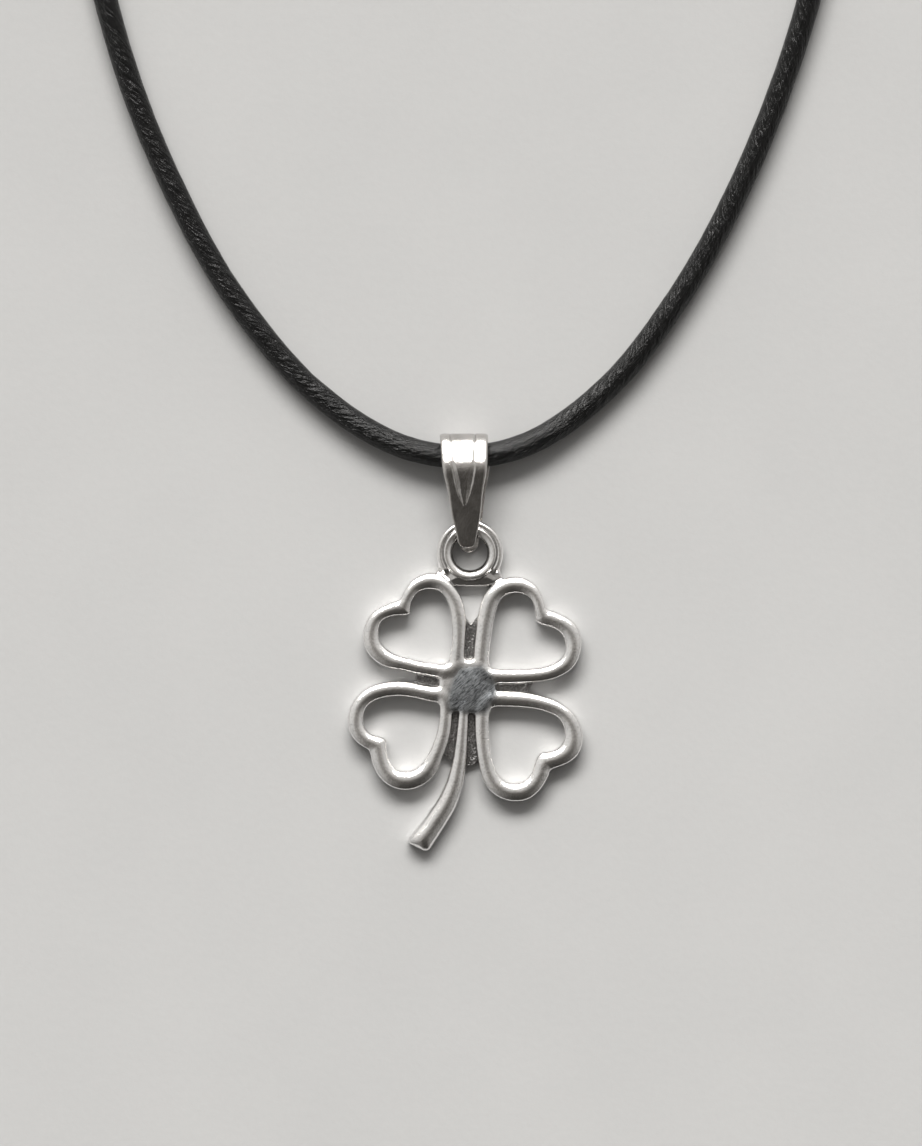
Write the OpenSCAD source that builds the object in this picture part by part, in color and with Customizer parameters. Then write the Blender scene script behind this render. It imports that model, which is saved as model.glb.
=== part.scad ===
/* [Leaves] */
// Reach of a leaf's lobes from the leaf's middle
leaf_r = 7.6; // [6.8:0.1:8]
// Width of the bar that frames a leaf
bar_w = 1.9; // [1.5:0.05:2.3]
// Height of a bar's crest above the flat back
bar_h = 2.4; // [2:0.1:3.2]
// Height of a bar's upright sides, below its rounded top
bar_side_h = 1.2; // [0.8:0.1:1.6]

/* [Middle] */
// How far the rough middle lies below the crests of the bars
plate_drop = 0.1; // [0.05:0.05:0.8]
// Height of the sunk web in the slots between the leaves
web_h = 0.9; // [0.5:0.1:1.1]

/* [Stem] */
// Width of the stem where it leaves the middle
stem_w = 2.1; // [1.7:0.1:2.4]
// Width of the stem's swelled end
stem_end_w = 3; // [2.2:0.1:3.4]
// Length of the stem, measured along its bend
stem_len = 18.5; // [12:0.1:20]
// Radius of the stem's bend, on its middle line
stem_bend_r = 28; // [24:0.5:60]
// How much of the stem bends, before it runs straight to its end
stem_bend_len = 14; // [10:0.5:16]

/* [Ring] */
// Outside diameter of the ring
ring_d = 8; // [7.2:0.1:8.4]
// Diameter of the hole in the ring
ring_hole_d = 4.4; // [4:0.1:4.8]
// Thickness of the ring's base band
ring_t = 1; // [0.8:0.05:1.1]
// Radius of the rounded ridge that edges the ring's hole
ridge_r = 0.5; // [0.4:0.05:0.6]

/* [Bail] */
// Width of the bail at its top
bail_top_w = 6.3; // [5:0.1:7]
// Width of the bail at its rounded tip
bail_tip_w = 2.4; // [2:0.1:2.6]
// Length of the bail, from the cord's middle to the middle of the ring's bar
bail_len = 8.85; // [8:0.05:11]
// Thickness of the bail's sheet
bail_t = 0.55; // [0.4:0.05:0.6]
// Room over the cord inside the bail
bail_room = 1.7; // [1:0.1:2]
// Gap between the bail and the ring that it holds
bail_gap = 0.2; // [0.15:0.05:0.25]

/* [Cord] */
// Diameter of the leather cord
cord_d = 3; // [2.6:0.1:3]
// Length of the plain barrel that closes the cord
clasp_len = 16; // [12:0.5:16]
// Diameter of the plain barrel
clasp_d = 4.6; // [4.2:0.1:4.6]
// Gap between the barrel and each end of the cord
clasp_gap = 0.2; // [0.1:0.05:0.3]

/* [Hidden] */
$fn = 64;

// A leaf is a heart, the same on both sides of its axis. The rows go from the notch round to the root.
LEAF = [
    // reach of the outer edge as a share of leaf_r, width of the bar along that reach as a share of bar_w
    [0.69, 1.16], [0.785, 1.24], [0.905, 1.17], [0.975, 1.07], [1, 1.1], [0.965, 1.13], [0.88, 1.06],
    [0.805, 0.98], [0.76, 0.94], [0.75, 0.95], [0.78, 0.92], [0.8, 0.81], [0.8, 0.53],
];
// How far a leaf's middle lies from its root, as a share of leaf_r
leaf_mid = 0.855;
leaf_steps = 60;
section_steps = 6;

// Where each leaf's root lies from the clover's middle, which way it points, and its size beside the others
PLACES = [
    // across and up as shares of leaf_r, direction in degrees, size
    [-0.24, 0.25, 129, 0.97],
    [0.2, 0.24, 42.5, 1.03],
    [-0.33, -0.18, 214, 1],
    [0.26, -0.24, -46.5, 1],
];

// Flat pieces between the leaves, as shares of leaf_r from the clover's middle.
// The rough middle reaches the inner end of each slot.
PLATE = [
    [-0.21, 0.45], [0.19, 0.45], [0.45, 0.16], [0.45, -0.13], [0.34, -0.26],
    [0.24, -0.38], [-0.32, -0.38], [-0.45, -0.14], [-0.51, -0.04], [-0.51, 0.18],
];
// Sunk webs: one in each slot, and the wide one that the stem runs over
WEBS = [
    [[-0.16, 0.33], [0.2, 0.33], [0.2, 1.07], [-0.13, 1.07]],
    [[-0.72, 0.32], [-0.4, 0.32], [-0.4, -0.16], [-0.72, -0.12]],
    [[0.4, 0.13], [0.67, 0.13], [0.67, -0.2], [0.4, -0.2]],
    [[-0.34, -0.32], [0.26, -0.32], [0.22, -1.26], [-0.5, -1.26]],
];
// The neck ties the ring to the two upper leaves
NECK = [
    [-0.4, 2.08], [-0.49, 1.86], [-0.4, 1.74], [-0.16, 1.66], [0.28, 1.66],
    [0.43, 1.73], [0.52, 1.8], [0.46, 2.04], [0.32, 2.14], [-0.28, 2.14],
];

// The stem leaves the middle straight down, and swells towards a blunt round end
stem_x = -0.1 * leaf_r;
stem_y = -0.34 * leaf_r;
stem_steps = 12;
stem_cap = 0.3 * stem_end_w;
STEM = concat(
    // share of the length, share of the full section
    [for (k = [0 : stem_steps]) [k / stem_steps * (1 - stem_cap / stem_len), 1]],
    [for (a = [25 : 20 : 85]) [1 - stem_cap / stem_len * (1 - sin(a)), cos(a)]]
);

// The pendant hangs from the place where its cord crosses it
cord_y = 23.1;
ring_bar_r = (ring_d + ring_hole_d) / 4;
ring_x = 0.65;
ring_y = cord_y - bail_len - ring_bar_r;
clover_x = ring_x - 0.06;
clover_y = ring_y - ring_d / 2 - 1.7 * leaf_r;

// The ring lies over the bail's back leaf, and its ridge ends a little below the leaves' crests
edge_drop = 0.05;
ring_z = bail_t + bail_gap;
ridge_mid = ring_hole_d / 2 + ridge_r;
ridge_z = bar_h - ridge_r - edge_drop;
neck_h = ring_z + ring_t - edge_drop;

// The bail is a loop of sheet, round over the cord and turned down round the ring's bar
loop_r = (cord_d + bail_room) / 2 + bail_t;
tip_room = 0.25;
tip_past = 0.5;
turn_r = (ring_d - ring_hole_d) / 4 + tip_room + bail_gap;
turn_at = bail_len + tip_past;
turn_z = bar_h + bail_gap - turn_r;
// Half the bail's outline from above its round top down to where its tip rounds off
BAIL_SIDE = [
    // share of the way from the cord to the tip, share of half the top's width
    [-0.3, 1], [0.1, 0.92], [0.39, 0.71], [0.66, 0.57], [0.84, 0.43],
];
// The back leaf reaches further than the front one, and shows beside it
bail_turn = 1.6;
back_reach = 0.65;
back_shift = 0.25;

// Where the cord's middle runs, from one end of the barrel round to the other
ROUTE = [
    // across, up, lift above lying on the surface
    [-19, 175.3, 0.2], [-31, 170.5, 0], [-40.8, 161, 0], [-46.8, 148, 0], [-49.2, 133, 0],
    [-49.4, 118, 0], [-48.7, 104, 0], [-47.2, 91.5, 0], [-44.8, 80.2, 0], [-41.1, 68, 0],
    [-36.1, 56.2, 0], [-30, 44.9, 0], [-22.3, 34.8, 0], [-17.6, 30.4, 0], [-12.3, 26.6, 0.2],
    [-6.6, 24, 0.6], [0, 23.1, 0.85], [6.6, 24.2, 0.6], [12, 27, 0.2], [17.1, 31.1, 0],
    [21.4, 35.6, 0], [28.5, 45.8, 0], [34.4, 56.9, 0], [39.2, 68.4, 0], [43, 80.2, 0],
    [45.5, 91.5, 0], [47.1, 104, 0], [47.8, 118, 0], [47.6, 133, 0], [45.2, 148, 0],
    [39.2, 161, 0], [29.4, 170.5, 0], [17.4, 175.3, 0.2],
];
clasp_x = -1;
clasp_y = 176.2;
clasp_edge = 0.4;
cord_sides = 8;
cord_steps = 2;

// A value from a column of the leaf's rows, at any place between them, smooth through each row
function leaf_row(i) = let(last = len(LEAF) - 1, k = abs(i)) LEAF[k > last ? 2 * last - k : k];
function leaf_value(turn, column) = let(
        step = 180 / (len(LEAF) - 1),
        side = turn > 180 ? 360 - turn : turn,
        i = min(floor(side / step), len(LEAF) - 2),
        t = side / step - i,
        a = leaf_row(i - 1)[column], b = leaf_row(i)[column],
        c = leaf_row(i + 1)[column], d = leaf_row(i + 2)[column]
    ) b + t * ((c - a) + t * ((2 * a - 5 * b + 4 * c - d) + t * (3 * b - a - 3 * c + d))) / 2;

// Upright sides and a rounded top, from the outer edge (0) across to the inner edge (1): share across, height
BAR_SECTION = concat(
    [[0, 0]],
    [for (k = [0 : section_steps]) let(a = 180 * k / section_steps)
        [(1 - cos(a)) / 2, bar_side_h + (bar_h - bar_side_h) * sin(a)]],
    [[1, 0]]
);

// Faces between sections that run round a closed loop or along an open path with end caps
function side_faces(rings, count, closed) = [
    for (i = [0 : rings - (closed ? 1 : 2)], j = [0 : count - 1])
        [i * count + j, i * count + (j + 1) % count,
         ((i + 1) % rings) * count + (j + 1) % count, ((i + 1) % rings) * count + j]
];

// A smooth line through the route's rows, at a share of the way from one row to the next
function on_route(rows, i, t) = let(
        last = len(rows) - 1,
        a = rows[max(i - 1, 0)], b = rows[i], c = rows[min(i + 1, last)], d = rows[min(i + 2, last)]
    ) b + t * ((c - a) + t * ((2 * a - 5 * b + 4 * c - d) + t * (3 * b - a - 3 * c + d))) / 2;
function unit(v) = v / norm(v);

module leaf() {
    points = [
        for (i = [0 : leaf_steps - 1]) let(
            turn = 360 * i / leaf_steps,
            edge = leaf_r * leaf_value(turn, 0),
            wide = bar_w * leaf_value(turn, 1)
        )
            for (s = BAR_SECTION) [(edge - wide * s[0]) * cos(turn), (edge - wide * s[0]) * sin(turn), s[1]]
    ];
    polyhedron(points, side_faces(leaf_steps, len(BAR_SECTION), true));
}

module stem() {
    count = len(BAR_SECTION);
    points = [
        for (s = STEM) let(
            along = s[0] * stem_len,
            turn = min(along, stem_bend_len) / stem_bend_r * 180 / PI,
            out = [cos(turn), -sin(turn)],
            straight = max(along - stem_bend_len, 0) * [-sin(turn), -cos(turn)],
            wide = (stem_w + (stem_end_w - stem_w) * s[0]) * s[1]
        )
            for (p = BAR_SECTION) let(r = stem_bend_r + wide * (0.5 - p[0]))
                [stem_x - stem_bend_r + r * out[0] + straight[0], stem_y + r * out[1] + straight[1],
                 min(p[1], bar_side_h + (bar_h - bar_side_h) * s[1])]
    ];
    polyhedron(points, concat(
        [for (f = side_faces(len(STEM), count, false)) [f[3], f[2], f[1], f[0]]],
        [[for (j = [0 : count - 1]) j]],
        [[for (j = [count - 1 : -1 : 0]) (len(STEM) - 1) * count + j]]
    ));
}

module ring() {
    rotate_extrude() {
        translate([ridge_mid, ring_z]) square([ring_d / 2 - ring_t / 2 - ridge_mid, ring_t]);
        translate([ring_d / 2 - ring_t / 2, ring_z + ring_t / 2]) circle(d = ring_t);
        translate([ridge_mid, ridge_z]) circle(r = ridge_r);
        translate([ridge_mid - ridge_r / 2, ring_z]) square([ridge_r, ridge_z - ring_z]);
    }
}

module neck() {
    difference() {
        linear_extrude(neck_h) polygon(leaf_r * NECK);
        translate([ring_x - clover_x, ring_y - clover_y, -1]) cylinder(r = ridge_mid, h = bar_h + 2);
    }
}

module clover() {
    color("silver") {
        translate([clover_x, clover_y, 0]) {
            for (p = PLACES) translate([p[0] * leaf_r, p[1] * leaf_r, 0]) rotate([0, 0, p[2]])
                translate([leaf_r * leaf_mid, 0, 0]) scale([p[3], p[3], 1]) leaf();
            linear_extrude(bar_h - plate_drop) polygon(leaf_r * PLATE);
            for (web = WEBS) linear_extrude(web_h) polygon(leaf_r * web);
            stem();
            neck();
        }
        translate([ring_x, ring_y, 0]) ring();
    }
}

// The loop seen from the side: two circles, round the cord and round the bar, and the line that touches both
module loop_outline(inset) {
    big = loop_r - inset;
    small = turn_r + bail_t - inset;
    away = [-turn_at, turn_z - loop_r];
    slope = atan2(away[1], away[0]) - acos((big - small) / norm(away));
    touch = [cos(slope), sin(slope)];
    middle = [0, loop_r];
    intersection() {
        union() {
            translate(middle) circle(r = big);
            translate(middle + away) circle(r = small);
            polygon([middle, middle + big * touch, middle + away + small * touch, [-turn_at - small, turn_z],
                     [-turn_at - small, inset], [0, inset]]);
        }
        translate([-2 * bail_len, inset]) square([3 * bail_len, 3 * loop_r]);
    }
}

// A leaf of the bail seen from above: it tapers from the top to a round tip
module bail_leaf(reach) {
    tip = reach - bail_tip_w / 2;
    side = concat(
        [for (p = BAIL_SIDE) if (p[0] * reach < tip) [bail_top_w / 2 * p[1], -p[0] * reach]],
        [[bail_tip_w / 2, -tip]]
    );
    last = len(side) - 1;
    polygon(concat(side, [for (i = [last : -1 : 0]) [-side[i][0], side[i][1]]]));
    translate([0, -tip]) circle(d = bail_tip_w);
}

module bail() {
    front_reach = turn_at + turn_r + bail_t;
    color("silver") translate([0, cord_y, 0]) intersection() {
        rotate([90, 0, 90]) translate([0, 0, -bail_top_w]) linear_extrude(2 * bail_top_w) {
            difference() {
                loop_outline(0);
                loop_outline(bail_t);
            }
            translate([-front_reach - back_reach, 0]) square([front_reach + back_reach, bail_t]);
        }
        rotate([0, 0, bail_turn]) {
            translate([0, 0, bail_t]) linear_extrude(2 * loop_r) bail_leaf(front_reach);
            translate([back_shift, 0, -1]) linear_extrude(1 + bail_t) bail_leaf(front_reach + back_reach);
        }
    }
}

module cord() {
    end_at = clasp_len / 2 + clasp_gap;
    end_lift = (clasp_d - cord_d) / 2;
    rows = concat([[clasp_x - end_at, clasp_y, end_lift]], ROUTE, [[clasp_x + end_at, clasp_y, end_lift]]);
    last = (len(rows) - 1) * cord_steps;
    function middle(k) = let(i = min(floor(k / cord_steps), len(rows) - 2))
        on_route(rows, i, k / cord_steps - i) + [0, 0, cord_d / 2];
    points = [
        for (k = [0 : last]) let(
            along = (k == 0 || k == last) ? [-1, 0, 0] : unit(middle(k + 1) - middle(k - 1)),
            side = unit(cross([0, 0, 1], along)),
            up = cross(along, side)
        )
            for (j = [0 : cord_sides - 1]) let(a = 360 * (j + 0.5) / cord_sides)
                middle(k) + cord_d / 2 * (cos(a) * side + sin(a) * up)
    ];
    color([0.09, 0.08, 0.08]) polyhedron(points, concat(
        [for (f = side_faces(last + 1, cord_sides, false)) [f[3], f[2], f[1], f[0]]],
        [[for (j = [0 : cord_sides - 1]) j]],
        [[for (j = [cord_sides - 1 : -1 : 0]) last * cord_sides + j]]
    ));
}

module clasp() {
    color("silver") translate([clasp_x - clasp_len / 2, clasp_y, clasp_d / 2]) rotate([0, 90, 0])
        rotate_extrude() polygon([
            [0, 0], [clasp_d / 2 - clasp_edge, 0], [clasp_d / 2, clasp_edge],
            [clasp_d / 2, clasp_len - clasp_edge], [clasp_d / 2 - clasp_edge, clasp_len], [0, clasp_len],
        ]);
}

clover();
bail();
cord();
clasp();
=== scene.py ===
# %% [markdown]
# # A clover pendant on a leather cord
#
# This lesson dresses a packed construction model of a pendant: a cast clover, a folded bail,
# a round leather cord and the plain barrel that closes it. The construction model holds every
# size. Here the cast forms get their soft blends, the metal its polish, and the leather its grain.
# Each step says what the piece is on the real thing, how it could be made, and why it is made this way.

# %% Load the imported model
import math

import bmesh
import bpy
import numpy as np
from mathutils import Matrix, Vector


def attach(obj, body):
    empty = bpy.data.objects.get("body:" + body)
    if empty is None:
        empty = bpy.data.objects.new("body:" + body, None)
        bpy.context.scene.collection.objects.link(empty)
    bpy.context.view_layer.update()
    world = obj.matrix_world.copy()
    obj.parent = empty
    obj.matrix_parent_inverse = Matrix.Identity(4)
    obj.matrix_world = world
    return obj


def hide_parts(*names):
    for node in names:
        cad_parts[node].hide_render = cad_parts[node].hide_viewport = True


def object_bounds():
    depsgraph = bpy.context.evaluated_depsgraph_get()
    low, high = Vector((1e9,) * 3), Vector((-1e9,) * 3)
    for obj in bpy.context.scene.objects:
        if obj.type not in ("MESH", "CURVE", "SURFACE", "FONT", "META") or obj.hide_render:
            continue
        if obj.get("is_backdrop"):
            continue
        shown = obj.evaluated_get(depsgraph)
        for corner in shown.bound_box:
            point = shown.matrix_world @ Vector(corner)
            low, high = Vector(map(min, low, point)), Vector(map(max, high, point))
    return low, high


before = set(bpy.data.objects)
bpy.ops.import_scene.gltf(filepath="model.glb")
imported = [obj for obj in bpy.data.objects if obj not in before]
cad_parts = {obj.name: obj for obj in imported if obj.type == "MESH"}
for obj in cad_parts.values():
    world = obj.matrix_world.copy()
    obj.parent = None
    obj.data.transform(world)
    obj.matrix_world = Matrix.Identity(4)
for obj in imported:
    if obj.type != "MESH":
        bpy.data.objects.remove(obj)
packed_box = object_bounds()
MM = 0.001
print("nodes", sorted(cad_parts), "box", [[round(v / MM, 2) for v in corner] for corner in packed_box])

# %% [markdown]
# ## The camera
#
# The pendant lies on a table and is seen from straight above. A long lens a metre away keeps the
# lines upright and shows almost nothing of the sides, as a product photographer would have it.
# The lens is worked out from the width of table that the picture covers, so that 8 pixels are 1 mm.

# %% Place the camera above the table
PIXELS_PER_MM = 8.0
picture_w, picture_h = 922, 1146
centre_px = (464.5, 641.8)
camera_height = 1.0

view_x = (picture_w / 2 - centre_px[0]) / PIXELS_PER_MM * MM
view_y = (centre_px[1] - picture_h / 2) / PIXELS_PER_MM * MM
camera_data = bpy.data.cameras.new("camera")
camera_data.sensor_fit = "AUTO"
camera_data.sensor_width = 36.0
camera_data.lens = camera_data.sensor_width * camera_height / (picture_h / PIXELS_PER_MM * MM)
camera_data.clip_start = 0.05
camera_data.clip_end = 20.0
camera = bpy.data.objects.new("camera", camera_data)
camera.location = (view_x, view_y, camera_height)
bpy.context.collection.objects.link(camera)
bpy.context.scene.camera = camera
bpy.context.scene.view_settings.view_transform = "Standard"
print("lens %.1f mm, looking at x %.2f mm, y %.2f mm" % (camera_data.lens, view_x / MM, view_y / MM))

# %% [markdown]
# ## The cord's way
#
# A 3 mm leather cord is springy. It leaves one end of the barrel, lies on the table in one wide
# loop, rises a little to pass through the bail, and comes back to the barrel's other end. The rows
# are the construction model's own, across, up and lift above lying flat, in millimetres. A smooth
# line through them keeps every row, which a fitted curve would not.

# %% Smooth the cord's way through its rows
CORD_D = 3.0
BARREL_LENGTH, BARREL_D, BARREL_GAP = 16.0, 4.6, 0.2
BARREL_AT = (-1.0, 176.2)
CORD_WAY = [
    (-19, 175.3, 0.2), (-31, 170.5, 0), (-40.8, 161, 0), (-46.8, 148, 0), (-49.2, 133, 0),
    (-49.4, 118, 0), (-48.7, 104, 0), (-47.2, 91.5, 0), (-44.8, 80.2, 0), (-41.1, 68, 0),
    (-36.1, 56.2, 0), (-30, 44.9, 0), (-22.3, 34.8, 0), (-17.6, 30.4, 0), (-12.3, 26.6, 0.2),
    (-6.6, 24, 0.6), (0, 23.1, 0.85), (6.6, 24.2, 0.6), (12, 27, 0.2), (17.1, 31.1, 0),
    (21.4, 35.6, 0), (28.5, 45.8, 0), (34.4, 56.9, 0), (39.2, 68.4, 0), (43, 80.2, 0),
    (45.5, 91.5, 0), (47.1, 104, 0), (47.8, 118, 0), (47.6, 133, 0), (45.2, 148, 0),
    (39.2, 161, 0), (29.4, 170.5, 0), (17.4, 175.3, 0.2),
]


def smooth_line(rows, steps):
    """Points on the smooth line through every row, with this many steps from one row to the next."""
    rows = np.array(rows, float)
    before = np.vstack([rows[:1], rows[:-2]])
    after = np.vstack([rows[2:], rows[-1:]])
    t = (np.arange(steps) / steps)[:, None, None]
    a, b, c, d = before, rows[:-1], rows[1:], after
    line = b + t * ((c - a) + t * ((2 * a - 5 * b + 4 * c - d) + t * (3 * b - a - 3 * c + d))) / 2
    return np.vstack([line.transpose(1, 0, 2).reshape(-1, rows.shape[1]), rows[-1:]])


def evened(line, gap, rounds):
    """The same line with points at even gaps, and with the slight kinks at its rows eased out."""
    distance = np.concatenate([[0], np.cumsum(np.linalg.norm(np.diff(line, axis=0), axis=1))])
    marks = np.linspace(0, distance[-1], round(distance[-1] / gap) + 1)
    line = np.stack([np.interp(marks, distance, line[:, k]) for k in range(3)], axis=-1)

    def eased(values):
        for _ in range(rounds):
            values = np.vstack([values[:1], (values[:-2] + 2 * values[1:-1] + values[2:]) / 4, values[-1:]])
        return values

    low = eased(line)
    return low + eased(line - low)


end_lift = (BARREL_D - CORD_D) / 2
end_at = BARREL_LENGTH / 2 + BARREL_GAP
barrel_ends = [(BARREL_AT[0] + side * end_at, BARREL_AT[1], end_lift) for side in (-1, 1)]
rows = [barrel_ends[0]] + CORD_WAY + [barrel_ends[1]]
cord_line = evened(smooth_line(rows, 24), gap=0.5, rounds=110) + np.array([0, 0, CORD_D / 2])
cord_length = float(np.linalg.norm(np.diff(cord_line, axis=0), axis=1).sum())
print("cord", len(rows), "rows,", len(cord_line), "points,", round(cord_length, 1), "mm")

# %% [markdown]
# ## Meshes from arrays
#
# Every piece here is worked out as arrays of points and faces. One helper turns them into an
# object at the origin, in metres, with smooth shading. It can also take exact normals, because a
# polished metal shows the smallest flaw in them, and values at the points for the materials to read.

# %% A helper that makes an object
def make_piece(name, points_mm, faces, normals=None, values=None):
    """An object from points in millimetres. values holds a number for each point, by name."""
    mesh = bpy.data.meshes.new(name)
    points = np.asarray(points_mm, float) * MM
    faces = np.asarray(faces, np.int32)
    corners = faces.shape[1]
    mesh.vertices.add(len(points))
    mesh.vertices.foreach_set("co", points.astype(np.float32).ravel())
    mesh.loops.add(faces.size)
    mesh.loops.foreach_set("vertex_index", faces.ravel())
    mesh.polygons.add(len(faces))
    mesh.polygons.foreach_set("loop_start", np.arange(0, faces.size, corners, dtype=np.int32))
    mesh.update(calc_edges=True)
    mesh.polygons.foreach_set("use_smooth", np.ones(len(faces), bool))
    for key, value in (values or {}).items():
        mesh.attributes.new(key, "FLOAT", "POINT").data.foreach_set("value", np.asarray(value, np.float32))
    if normals is not None:
        mesh.normals_split_custom_set_from_vertices(np.asarray(normals, float).tolist())
    mesh.validate()
    piece = bpy.data.objects.new(name, mesh)
    bpy.context.collection.objects.link(piece)
    print(name, len(points), "points,", len(faces), "faces")
    return piece


# %% Helpers for tubes
def tube_faces(rings, count):
    """Four-sided faces between the rings of an open tube."""
    i = np.arange(rings - 1)[:, None] * count
    j = np.arange(count)[None, :]
    k = (j + 1) % count
    return np.stack([i + j, i + k, i + count + k, i + count + j], axis=-1).reshape(-1, 4)


def close_ends(piece, rings, sides):
    """Closes both ends of a tube with a fan of triangles round its last two points."""
    work = bmesh.new()
    work.from_mesh(piece.data)
    work.verts.ensure_lookup_table()
    start, end, last = work.verts[rings * sides], work.verts[rings * sides + 1], (rings - 1) * sides
    for j in range(sides):
        k = (j + 1) % sides
        work.faces.new((work.verts[k], work.verts[j], start)).smooth = True
        work.faces.new((work.verts[last + j], work.verts[last + k], end)).smooth = True
    bmesh.ops.recalc_face_normals(work, faces=work.faces)
    work.to_mesh(piece.data)
    work.free()


# %% [markdown]
# ## The leather cord
#
# Round leather cord is a long strip shaved to a circle and dyed. It is never quite even: it swells
# and thins a little along its length, and its skin has lengthwise wrinkles. A curve with a round
# bevel would be too even, so the tube is swept by hand, with low waves in its radius.
# Its map runs along the length and round the girth, so that the grain can follow the cord.

# %% Sweep the cord's tube
CORD_SIDES = 40
# how much less than the solid's the tube's radius is, to leave room for its waves, and how high these are
CORD_SLACK, SWELL, LUMP = 0.03, 0.012, 0.008


def waves(u, v, seed, count, along, around):
    """Low random waves over a length u and an angle v, between about -1 and 1."""
    rng = np.random.default_rng(seed)
    total = np.zeros(np.broadcast(u, v).shape)
    for _ in range(count):
        total += np.sin(u * rng.uniform(*along) + v * rng.integers(*around) + rng.uniform(0, 2 * math.pi))
    return total / math.sqrt(count)


def sweep_cord(line):
    """A round tube along the line. It is even at both ends, where it meets the barrel."""
    distance = np.concatenate([[0], np.cumsum(np.linalg.norm(np.diff(line, axis=0), axis=1))])
    along = np.gradient(line, axis=0)
    along[0] = along[-1] = (-1, 0, 0)
    along /= np.linalg.norm(along, axis=1)[:, None]
    side = np.cross([0, 0, 1], along)
    side /= np.linalg.norm(side, axis=1)[:, None]
    up = np.cross(along, side)
    angle = np.linspace(0, 2 * math.pi, CORD_SIDES, endpoint=False)
    u, v = distance[:, None], angle[None, :]
    ends = np.clip(np.minimum(u, distance[-1] - u) / 2, 0, 1)
    swells = waves(u, v, seed=3, count=9, along=(0.3, 1.5), around=(0, 3))
    lumps = waves(u, v, seed=5, count=12, along=(0.8, 3.5), around=(2, 7))
    radius = (CORD_D / 2 - CORD_SLACK + ends * (SWELL * swells + LUMP * lumps))[..., None]
    round_it = np.cos(v)[..., None] * side[:, None, :] + np.sin(v)[..., None] * up[:, None, :]
    points = (line[:, None, :] + radius * round_it).reshape(-1, 3)
    piece = make_piece("leather_cord", np.vstack([points, line[0], line[-1]]), tube_faces(len(line), CORD_SIDES))
    close_ends(piece, len(line), CORD_SIDES)
    return piece, distance


leather_cord, distance = sweep_cord(cord_line)


# %% Map the cord along and around
def map_cord(piece, distance):
    """A map with the length along and the girth around, both in metres."""
    mesh = piece.data
    layer = mesh.uv_layers.new(name="along_and_around")
    girth = math.pi * CORD_D * MM
    corner = np.empty(len(mesh.loops), np.int32)
    mesh.loops.foreach_get("vertex_index", corner)
    ring, place = corner // CORD_SIDES, corner % CORD_SIDES
    sizes = np.empty(len(mesh.polygons), np.int32)
    mesh.polygons.foreach_get("loop_total", sizes)
    face_of = np.repeat(np.arange(len(sizes)), sizes)
    # a face that closes the girth ends at a whole turn, not back at nought
    closing = np.zeros(len(sizes), bool)
    np.logical_or.at(closing, face_of, place == CORD_SIDES - 1)
    around = np.where((place == 0) & closing[face_of], 1.0, place / CORD_SIDES)
    u = distance[np.clip(ring, 0, len(distance) - 1)] * MM
    layer.data.foreach_set("uv", np.stack([u, around * girth], axis=-1).astype(np.float32).ravel())


map_cord(leather_cord, distance)
print("map", round(float(distance[-1]), 1), "mm along,", round(math.pi * CORD_D, 2), "mm around")

# %% [markdown]
# ## The clover's form
#
# The clover is cast: its bars, middle and stem melt into each other with soft inside corners.
# Separate bars laid over each other would meet in hard creases, and polished metal shows every one.
# So the form is written as one field, a number at each place in space that is below nought inside
# the metal. Smooth joins of such fields give the soft corners of a casting.

# %% Fields for rounded forms
# the height of every bar's crest, and how soft its upper edges are, in millimetres
BAR_H, BAR_EDGE = 2.4, 0.16


def inside_distance(corners, x, y):
    """How far each place lies inside a flat outline: above nought inside, below outside."""
    corners = np.asarray(corners, float)
    best = np.full(np.broadcast(x, y).shape, 1e9)
    odd = np.zeros(best.shape, bool)
    for (ax, ay), (bx, by) in zip(corners, np.roll(corners, -1, axis=0)):
        ex, ey = bx - ax, by - ay
        t = np.clip(((x - ax) * ex + (y - ay) * ey) / (ex * ex + ey * ey), 0, 1)
        best = np.minimum(best, np.hypot(x - ax - t * ex, y - ay - t * ey))
        if ay != by:
            odd ^= ((ay > y) != (by > y)) & (x < (bx - ax) * (y - ay) / (by - ay) + ax)
    return np.where(odd, best, -best)


def rounded(inside, round_w, side_h, top_h, z):
    """Upright sides up to side_h, then a rounded shoulder of this width up to top_h."""
    across = np.maximum(1 - inside / round_w, 0)
    up = np.maximum((z - side_h) / (top_h - side_h), 0)
    return (np.hypot(across, up) - 1) * round_w


def domed(inside, half, top_h, z, dome=1.3):
    """Upright sides with a soft edge, and a low arc as a top: its radius is dome times half the bar's width."""
    arc_r = half * dome
    arc = np.hypot(half - inside, np.maximum(z - top_h + arc_r, 0)) - arc_r
    return cut(arc, -inside, BAR_EDGE)


def joined(a, b, soft):
    """Both forms, with a soft inside corner between them."""
    share = np.clip(0.5 + 0.5 * (b - a) / soft, 0, 1)
    return b * (1 - share) + a * share - soft * share * (1 - share)


def cut(a, b, soft):
    """What both forms have in common, with a soft edge."""
    return -joined(-a, -b, soft)


def share_past(value, start, over):
    """How far a value is on its way past start: nought before it, one once it is over further."""
    return np.clip((value - start) / over, 0, 1)
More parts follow.
